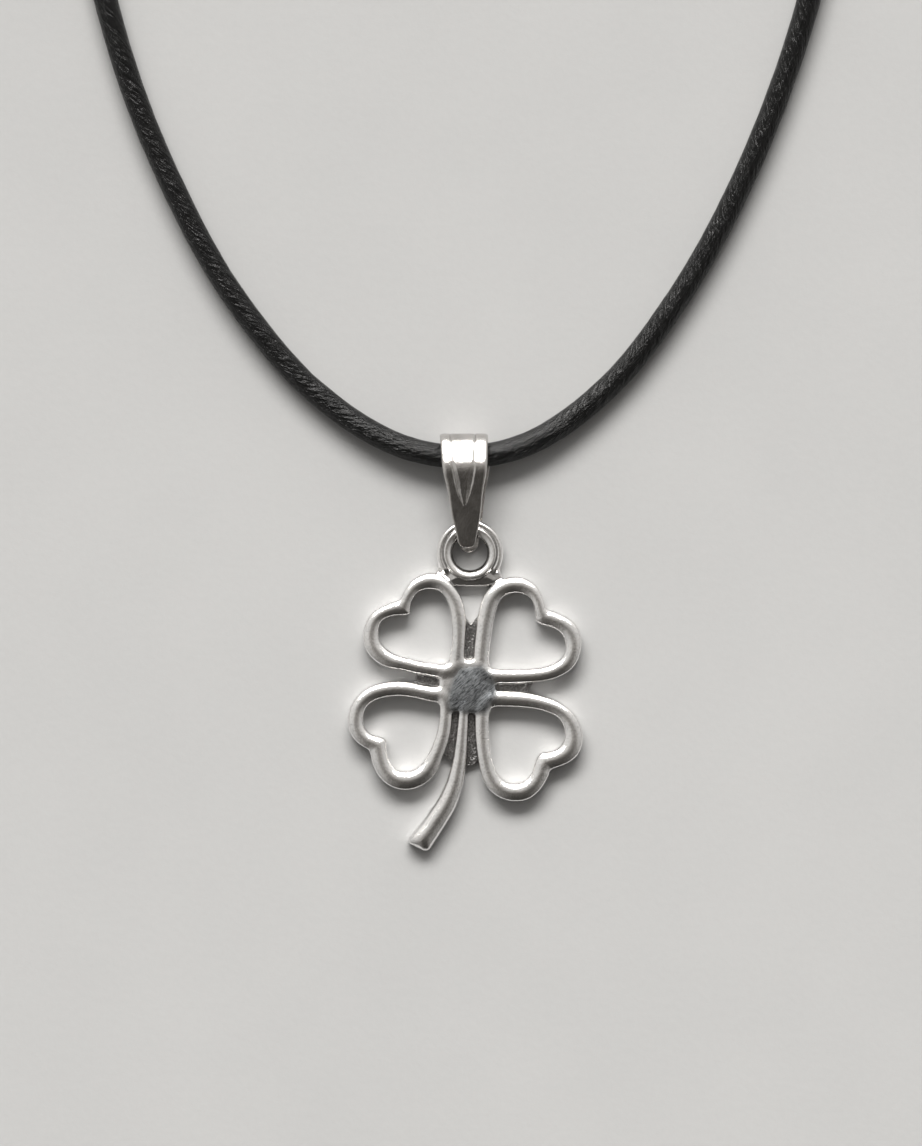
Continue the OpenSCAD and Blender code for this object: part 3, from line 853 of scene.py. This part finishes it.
# %% A wire that sums can be written with
class Wire:
    """A node's output that sums can be written with."""

    def __init__(self, recipe, socket):
        self.recipe, self.socket = recipe, socket

    def sum(self, kind, *others, clamp=False):
        return self.recipe.add("ShaderNodeMath", {"operation": kind, "use_clamp": clamp}, dict(enumerate(others)))

    def __add__(self, other):
        return self.sum("ADD", self, other)

    def __sub__(self, other):
        return self.sum("SUBTRACT", self, other)

    def __rsub__(self, other):
        return self.sum("SUBTRACT", other, self)

    def __mul__(self, other):
        return self.sum("MULTIPLY", self, other)

    def __truediv__(self, other):
        return self.sum("DIVIDE", self, other)

    __radd__, __rmul__ = __add__, __mul__

    def clip(self):
        return self.sum("ADD", self, 0, clamp=True)

    def size(self):
        return self.sum("ABSOLUTE", self)

    def root(self):
        return self.sum("SQRT", self)

    def ramp(self, low, high, to_low=0.0, to_high=1.0):
        """Runs softly from to_low, where this is low, to to_high, where it is high."""
        return self.recipe.add(
            "ShaderNodeMapRange", {"interpolation_type": "SMOOTHSTEP"},
            {"Value": self, "From Min": low, "From Max": high, "To Min": to_low, "To Max": to_high})


# %% A recipe that adds nodes line by line
class Recipe:
    """A node tree that is written line by line."""

    def __init__(self, tree):
        self.tree = tree
        tree.nodes.clear()

    def add(self, kind, settings=None, inputs=None, output=0):
        """Adds a node. Inputs are numbers, colours or wires, by name or place."""
        node = self.tree.nodes.new(kind)
        for key, value in (settings or {}).items():
            setattr(node, key, value)
        for key, value in (inputs or {}).items():
            if isinstance(value, Wire):
                self.tree.links.new(value.socket, node.inputs[key])
            else:
                node.inputs[key].default_value = value
        return Wire(self, node.outputs[output]) if len(node.outputs) else node

    def vector(self, kind, *values):
        return self.add("ShaderNodeVectorMath", {"operation": kind}, dict(enumerate(values)))

    def spread(self, source):
        """The three parts of a vector."""
        first = self.add("ShaderNodeSeparateXYZ", {}, {0: source})
        return [Wire(self, socket) for socket in first.socket.node.outputs]

    def stretched(self, place, *amounts):
        """The place times an amount each way. A pattern on it shrinks where the amount is large."""
        return self.vector("MULTIPLY", place, amounts)

    def turned(self, place, angle):
        """The place turned round the upright, or round the map's own corner."""
        settings = {"rotation_type": "Z_AXIS"}
        return self.add("ShaderNodeVectorRotate", settings, {"Vector": place, "Angle": angle})

    def place(self):
        """Where a point lies on the piece, in millimetres."""
        return self.stretched(self.add("ShaderNodeTexCoord", {}, {}, "Object"), 1 / MM, 1 / MM, 1 / MM)

    def noise(self, place, scale, detail=3.0, rough=0.55, distortion=0.0):
        inputs = {"Vector": place, "Scale": scale, "Detail": detail, "Roughness": rough, "Distortion": distortion}
        return self.add("ShaderNodeTexNoise", {}, inputs)

    def stored(self, name):
        """A value kept at the piece's points."""
        return self.add("ShaderNodeAttribute", {"attribute_name": name}, {}, "Fac")

    def mix(self, share, first, second):
        """A blend of two colours. The node's colour sockets come after those for numbers and vectors."""
        return self.add("ShaderNodeMix", {"data_type": "RGBA"}, {0: share, 6: first, 7: second}, 2)

    def bumps(self, *layers):
        """Bump layers on each other. Each is a height wire and its depth in millimetres."""
        normal = None
        for height, depth in layers:
            inputs = {"Height": height, "Distance": depth * MM, "Strength": 1.0}
            if normal is not None:
                inputs["Normal"] = normal
            normal = self.add("ShaderNodeBump", {}, inputs)
        return normal


# %% Helpers for finishes
def finish_of(name, build):
    """A material whose surface is what build gives: inputs for the main shader, by name."""
    material = bpy.data.materials.new(name)
    material.use_nodes = True
    recipe = Recipe(material.node_tree)
    surface = recipe.add("ShaderNodeBsdfPrincipled", {}, build(recipe))
    recipe.add("ShaderNodeOutputMaterial", {}, {"Surface": surface})
    print("finish", name, "with", len(material.node_tree.nodes), "nodes")
    return material


def grey(value, warm=0.0):
    """A grey of this brightness, a little towards red where warm is above nought."""
    return (value * (1 + warm), value, value * (1 - warm), 1)


def bare_metal(r, colour, shine, *layers):
    """The main shader's inputs for metal, with its bump layers."""
    return {"Base Color": colour, "Metallic": 1.0, "Roughness": shine, "Normal": r.bumps(*layers)}


# %% [markdown]
# ## Cast and polished silver
#
# The bars were tumbled bright, but a casting keeps faint waves and pits, and wear leaves fine
# scratches each way. The middle was left as the mould gave it and then brushed on a slant. The
# webs, sunk where no wheel reaches, stay grey and grainy, and their dark tone is partly their rough
# skin and partly painted shade of the deep slots. The ring's hole and valley and the tight folds get
# painted shade in their colour. The values kept at the points say which is which, and they blend,
# as the polish does on the real piece.

# %% The casting's finish
BRUSH_TURN = math.radians(-40)
SCRATCH_TURN = 0.5
VALLEY_R = 3.37  # where the ring's valley lies, from its middle


def cast_silver(r):
    place = r.place()
    middle, web = r.stored("brushed"), r.stored("sunk")
    grain = r.noise(r.stretched(r.turned(place, BRUSH_TURN), 0.35, 2.6, 1.0), 3.6, 5, 0.7)
    pits = r.noise(place, 5.5, 6, 0.75)
    speckle = r.noise(place, 3.2, 3, 0.7)
    cloud = r.noise(place, 0.45, 3)
    waves_low = r.noise(place, 0.9, 2, 0.4)
    scratch = r.noise(r.stretched(r.turned(place, SCRATCH_TURN), 0.5, 9.0, 1.0), 1.6, 4, 0.6)
    crease_shade = r.stored("crease_shade").ramp(0.25, 0.85)
    # painted shade: the ring's hole and its valley are darkened in the colour
    ring_x, ring_y, _ = r.spread(r.vector("SUBTRACT", place, (*RING_AT, 0)))
    from_ring = (ring_x * ring_x + ring_y * ring_y).root()
    in_valley = (from_ring - VALLEY_R).size().ramp(0.04, 0.2, 0.85, 0)
    hole_and_valley_shade = (from_ring.ramp(2.25, 2.65, 1, 0) + in_valley).clip()
    granules = r.noise(place, 4.2, 2, 0.8).ramp(0.52, 0.7)
    bright = r.mix(cloud.ramp(0.3, 0.7), grey(0.87, 0.01), grey(0.94, 0.018))
    bright = r.mix(granules * 0.4, bright, grey(0.45, 0.03))
    # painted shade: the ring's hole and valley are darkened in the colour
    bright = r.mix(hole_and_valley_shade * 0.85, bright, grey(0.22, 0.04))
    # painted shade: tight folds and inside corners are darkened in the colour
    bright = r.mix(crease_shade * 0.8, bright, grey(0.16, 0.05))
    streak = (grain * 0.7 + pits * 0.3).ramp(0.39, 0.61)
    dull = r.mix(streak, grey(0.07, -0.07), grey(0.55, -0.045))
    # the webs' colour: partly their rough grey skin, partly painted shade of the deep slots
    dark = r.mix(pits.ramp(0.35, 0.65), grey(0.03, 0.03), grey(0.28, 0.03))
    colour = r.mix(web, r.mix(middle, bright, dull), dark)
    shine = (middle + web).clip().ramp(0.0, 1.0, 0.05, 0.24) + pits * 0.05 + scratch * 0.04 + cloud * 0.03
    return bare_metal(
        r, colour, shine, (waves_low, 0.02), (scratch, 0.0025), (speckle, 0.02), (pits, 0.012),
        (grain * middle, 0.01), (pits * web, 0.03))


clover.data.materials.append(finish_of("cast_silver_finish", cast_silver))


# %% The sheet's finish
def sheet_silver(r):
    place = r.place()
    cloud = r.noise(place, 0.5, 3)
    waves_low = r.noise(place, 0.7, 2, 0.4)
    scratch = r.noise(r.stretched(place, 7.0, 0.7, 0.7), 1.5, 4, 0.6)
    specks = r.noise(place, 3.4, 4, 0.75)
    colour = r.mix(cloud.ramp(0.3, 0.7), grey(0.52, 0.035), grey(0.68, 0.03))
    shine = 0.06 + scratch * 0.06 + cloud * 0.04 + specks.ramp(0.45, 0.7) * 0.1
    return bare_metal(r, colour, shine, (waves_low, 0.02), (scratch, 0.004), (specks, 0.035))


bail.data.materials.append(finish_of("sheet_silver_finish", sheet_silver))


# %% The web grains' finish
def grain_silver(r):
    tone = r.noise(r.place(), 4.0, 3)
    # dark like the webs: partly the rough skin, partly painted shade of the slots
    colour = r.mix(tone.ramp(0.3, 0.7), grey(0.08, 0.02), grey(0.4, 0.01))
    return bare_metal(r, colour, 0.3 + tone * 0.2, (r.noise(r.place(), 12.0), 0.01))


grain_finish = finish_of("grain_finish", grain_silver)

# %% [markdown]
# ### Grains on the webs
#
# Where the mould's sand left its mark, small lumps stand on the webs. They repeat by the hundred,
# so a node tree scatters them over the part of the casting marked as sunk, with one fixed seed.
# Each lump is a low ball, stretched and turned in its own way, half sunk in the metal.

# %% Scatter the grains
LUMP_FACES = 80  # a ball of this many triangles stands for each lump


def scatter_grains(base, density, small, large, seed):
    """Lumps on the base, so many to the square metre at the most, between two sizes in metres."""
    tree = bpy.data.node_groups.new("web_grains", "GeometryNodeTree")
    tree.interface.new_socket("Geometry", in_out="INPUT", socket_type="NodeSocketGeometry")
    given_values = []
    for name, kind, value in (
            ("Density", "NodeSocketFloat", density),
            ("Smallest", "NodeSocketFloat", small),
            ("Largest", "NodeSocketFloat", large),
            ("Seed", "NodeSocketInt", seed),
            ("Finish", "NodeSocketMaterial", grain_finish)):
        socket = tree.interface.new_socket(name, in_out="INPUT", socket_type=kind)
        given_values.append((socket.identifier, value))
    tree.interface.new_socket("Geometry", in_out="OUTPUT", socket_type="NodeSocketGeometry")
    r = Recipe(tree)
    given = tree.nodes.new("NodeGroupInput")
    want = {socket.name: Wire(r, socket) for socket in given.outputs}
    sunk_here = r.add("GeometryNodeInputNamedAttribute", {"data_type": "FLOAT"}, {"Name": "sunk"})
    amount = sunk_here.ramp(0.55, 0.95) * want["Density"]
    spots = r.add(
        "GeometryNodeDistributePointsOnFaces", {"distribute_method": "RANDOM"},
        {"Mesh": want["Geometry"], "Density": amount, "Seed": want["Seed"]})
    turn = Wire(r, spots.socket.node.outputs["Rotation"])
    lump = r.add("GeometryNodeMeshIcoSphere", {}, {"Radius": 1.0, "Subdivisions": 2})
    size = r.add(
        "FunctionNodeRandomValue", {"data_type": "FLOAT"},
        {"Min": want["Smallest"], "Max": want["Largest"], "Seed": want["Seed"]}, "Value")
    shape = r.add("ShaderNodeCombineXYZ", {}, {"X": size, "Y": size * 0.75, "Z": size * 0.45})
    put = r.add(
        "GeometryNodeInstanceOnPoints", {},
        {"Points": spots, "Instance": lump, "Rotation": turn, "Scale": shape})
    real = r.add("GeometryNodeRealizeInstances", {}, {"Geometry": put})
    done = r.add("GeometryNodeSetMaterial", {}, {"Geometry": real, "Material": want["Finish"]})
    tree.nodes.new("NodeGroupOutput")
    tree.links.new(done.socket, tree.nodes[-1].inputs[0])
    carrier = bpy.data.objects.new("web_grains_source", base.data)
    bpy.context.collection.objects.link(carrier)
    modifier = carrier.modifiers.new("grains", "NODES")
    modifier.node_group = tree
    for identifier, value in given_values:
        modifier[identifier] = value
    bpy.context.view_layer.update()
    shown = carrier.evaluated_get(bpy.context.evaluated_depsgraph_get())
    mesh = bpy.data.meshes.new_from_object(shown)
    mesh.name = "web_grains"
    piece = bpy.data.objects.new("web_grains", mesh)
    bpy.context.collection.objects.link(piece)
    bpy.data.objects.remove(carrier)
    mesh.polygons.foreach_set("use_smooth", np.ones(len(mesh.polygons), bool))
    print("grains", len(mesh.polygons) // LUMP_FACES, "with", len(mesh.polygons), "faces")
    return piece


web_grains = scatter_grains(clover, density=7.0e6, small=0.00006, large=0.00013, seed=11)

# %% [markdown]
# ## Black leather
#
# Dyed leather looks black, but its skin is slightly glossy and full of lengthwise wrinkles, so a
# highlight on it breaks into a ragged streak. The grain is drawn in the cord's own map: long thin
# wrinkles along it, finer ones on a slant, pores all over, and a few pale scuffs where the dye has
# worn.

# %% The leather's finish
CREASE_TURN = math.radians(28)


def black_leather(r):
    spot = r.stretched(r.add("ShaderNodeTexCoord", {}, {}, "UV"), 1 / MM, 1 / MM, 1.0)
    wrinkle = r.noise(r.stretched(spot, 0.28, 2.4, 1.0), 1.0, 5, 0.62)
    fold = r.noise(r.stretched(spot, 0.12, 0.8, 1.0), 1.0, 3, 0.5)
    pores = r.noise(r.stretched(spot, 4.0, 7.0, 1.0), 1.0, 4, 0.7)
    creases = r.noise(r.stretched(r.turned(spot, CREASE_TURN), 0.5, 2.2, 1.0), 1.0, 2, 0.6, 0.3)
    scuff = r.noise(r.stretched(spot, 0.9, 5.0, 1.0), 1.0, 6, 0.75, 0.4)
    worn = scuff.ramp(0.6, 0.78) * fold.ramp(0.4, 0.65)
    colour = r.mix(worn, r.mix(pores.ramp(0.3, 0.7), grey(0.001), grey(0.003, 0.02)), grey(0.05, 0.04))
    shine = 0.09 + wrinkle.ramp(0.35, 0.65) * 0.08 + worn * 0.15 + pores * 0.04
    normal = r.bumps((fold, 0.1), (wrinkle, 0.22), (creases, 0.28), (scuff, 0.05), (pores, 0.02))
    return {"Base Color": colour, "Roughness": shine, "Specular IOR Level": 0.29, "Normal": normal}


leather_cord.data.materials.append(finish_of("black_leather_finish", black_leather))

# %% [markdown]
# ## Turned steel for the barrel
#
# The barrel is plain steel, turned on a lathe. Turning leaves fine rings round it, which widen a
# highlight along the length. The finish draws them across the barrel's own length.

# %% The steel's finish
def barrel_steel(r):
    rings = r.noise(r.stretched(r.place(), 6.0, 0.15, 0.15), 1.5, 4, 0.6)
    cloud = r.noise(r.place(), 0.6, 3)
    colour = r.mix(cloud.ramp(0.3, 0.7), grey(0.62, 0.01), grey(0.74, 0.012))
    return bare_metal(r, colour, 0.2 + rings * 0.1 + cloud * 0.05, (rings, 0.006))


turned_barrel.data.materials.append(finish_of("barrel_steel_finish", barrel_steel))

# %% [markdown]
# ## The table
#
# The table is a plain pale surface. It is large, because polished metal mirrors it out to the
# horizon, and it has a faint mottle, as painted board has.

# %% Lay the table
TABLE_TONE, MOTTLE = 0.337, 0.025
HALF_TABLE = 3000.0


def pale_board(r):
    cloud = r.noise(r.place(), 0.035, 4, 0.6)
    fleck = r.noise(r.place(), 1.1, 3, 0.6)
    tone = (cloud.ramp(0.25, 0.75) * 0.7 + fleck.ramp(0.3, 0.7) * 0.3).clip()
    colour = r.mix(tone, grey(TABLE_TONE * (1 - MOTTLE), 0.001), grey(TABLE_TONE * (1 + MOTTLE), 0.003))
    return {"Base Color": colour, "Roughness": 0.85, "Specular IOR Level": 0.1, "Normal": r.bumps((fleck, 0.02))}


corners = [(x * HALF_TABLE, y * HALF_TABLE, 0) for x, y in ((-1, -1), (1, -1), (1, 1), (-1, 1))]
table = make_piece("table", corners, [(0, 1, 2, 3)])
table.data.materials.append(finish_of("pale_board_finish", pale_board))
table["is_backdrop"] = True

# %% [markdown]
# ## The studio light
#
# A white tent lights the pendant from all round. A white screen stands beyond the cord, with a
# bright lamp behind it, which gives the shadows and the leather's streak. Whoever takes the picture
# stands at the near side and a little to the right, and takes light away there up to straight
# above, which gives the metal its dark bands. The light is written on the sky itself: how bright it
# is in each direction. Polished silver shows nothing else, so this is half of its look.

# %% Light the sky
TENT, SCREEN, LAMP = 0.58, 1.05, 24.0
# the lamp's place, in degrees from straight up and from straight away towards +X, and its reach each way
LAMP_STEEP, LAMP_TURN, LAMP_HIGH, LAMP_WIDE = 51, -7, 12, 38
# how much brighter the tent is at the far side, and how much darker to the right
TENT_AWAY, TENT_RIGHT = 0.37, 0.07
# how much light the near side takes away, and where it is darkest
SHADE, SHADE_X = 0.81, 0.14
DEGREES = 180 / math.pi


def studio_sky():
    world = bpy.data.worlds.new("studio")
    bpy.context.scene.world = world
    world.use_nodes = True
    r = Recipe(world.node_tree)
    x, y, z = r.spread(r.add("ShaderNodeTexCoord", {}, {}, "Generated"))
    steep = x.sum("ARCTAN2", (x * x + y * y).root(), z) * DEGREES
    turn = x.sum("ARCTAN2", x, y) * DEGREES
    off_steep, off_turn = (steep - LAMP_STEEP) / LAMP_HIGH, (turn - LAMP_TURN) / LAMP_WIDE
    lamp = (off_steep * off_steep + off_turn * off_turn).ramp(0.35, 1.3, 1, 0)
    # the tent and the screen fade where they meet the table's far edge
    tent = (y * TENT_AWAY - x * TENT_RIGHT + TENT) * steep.ramp(80, 86, 1, 0.5)
    screen = y.ramp(0.46, 0.78) * x.size().ramp(0.6, 1.0, 1, 0.5) * steep.ramp(84, 88, 1, 0.3)
    aside = (x - SHADE_X).size() / (0.78 - y * 0.25)
    shade = aside.ramp(0.15, 1.0, 1, 0) * y.ramp(-0.35, 0.6, 1, 0) * SHADE
    light = tent * (1 - shade) + screen * (SCREEN - TENT) + lamp * LAMP
    tint = r.mix(shade, (1.0, 0.985, 0.96, 1), (1.0, 0.93, 0.85, 1))
    back = r.add("ShaderNodeBackground", {}, {"Color": tint, "Strength": light})
    r.add("ShaderNodeOutputWorld", {}, {"Surface": back})
    print("tent", TENT, "screen", SCREEN, "lamp", LAMP, "shade", SHADE)


studio_sky()

# %% [markdown]
# ## Joining the pieces to the imported model
#
# Each detailed piece stands in for one node of the construction model, which is hidden, and rides on the pendant.

# %% Put the pieces in the imported model's places
for piece, node, slot in (
        (clover, "clover", "cast_silver"),
        (bail, "bail", "sheet_silver"),
        (leather_cord, "cord", "black_leather"),
        (turned_barrel, "clasp", "barrel_steel")):
    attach(piece, "root")
    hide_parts(node)
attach(web_grains, "root")

tuple(cord_line[0] * MM)
[tuple(p) for p in cord_line * MM]

dressed_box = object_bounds()
for name, box in (("packed", packed_box), ("dressed", dressed_box)):
    print(name, [[round(v / MM, 2) for v in corner] for corner in box])
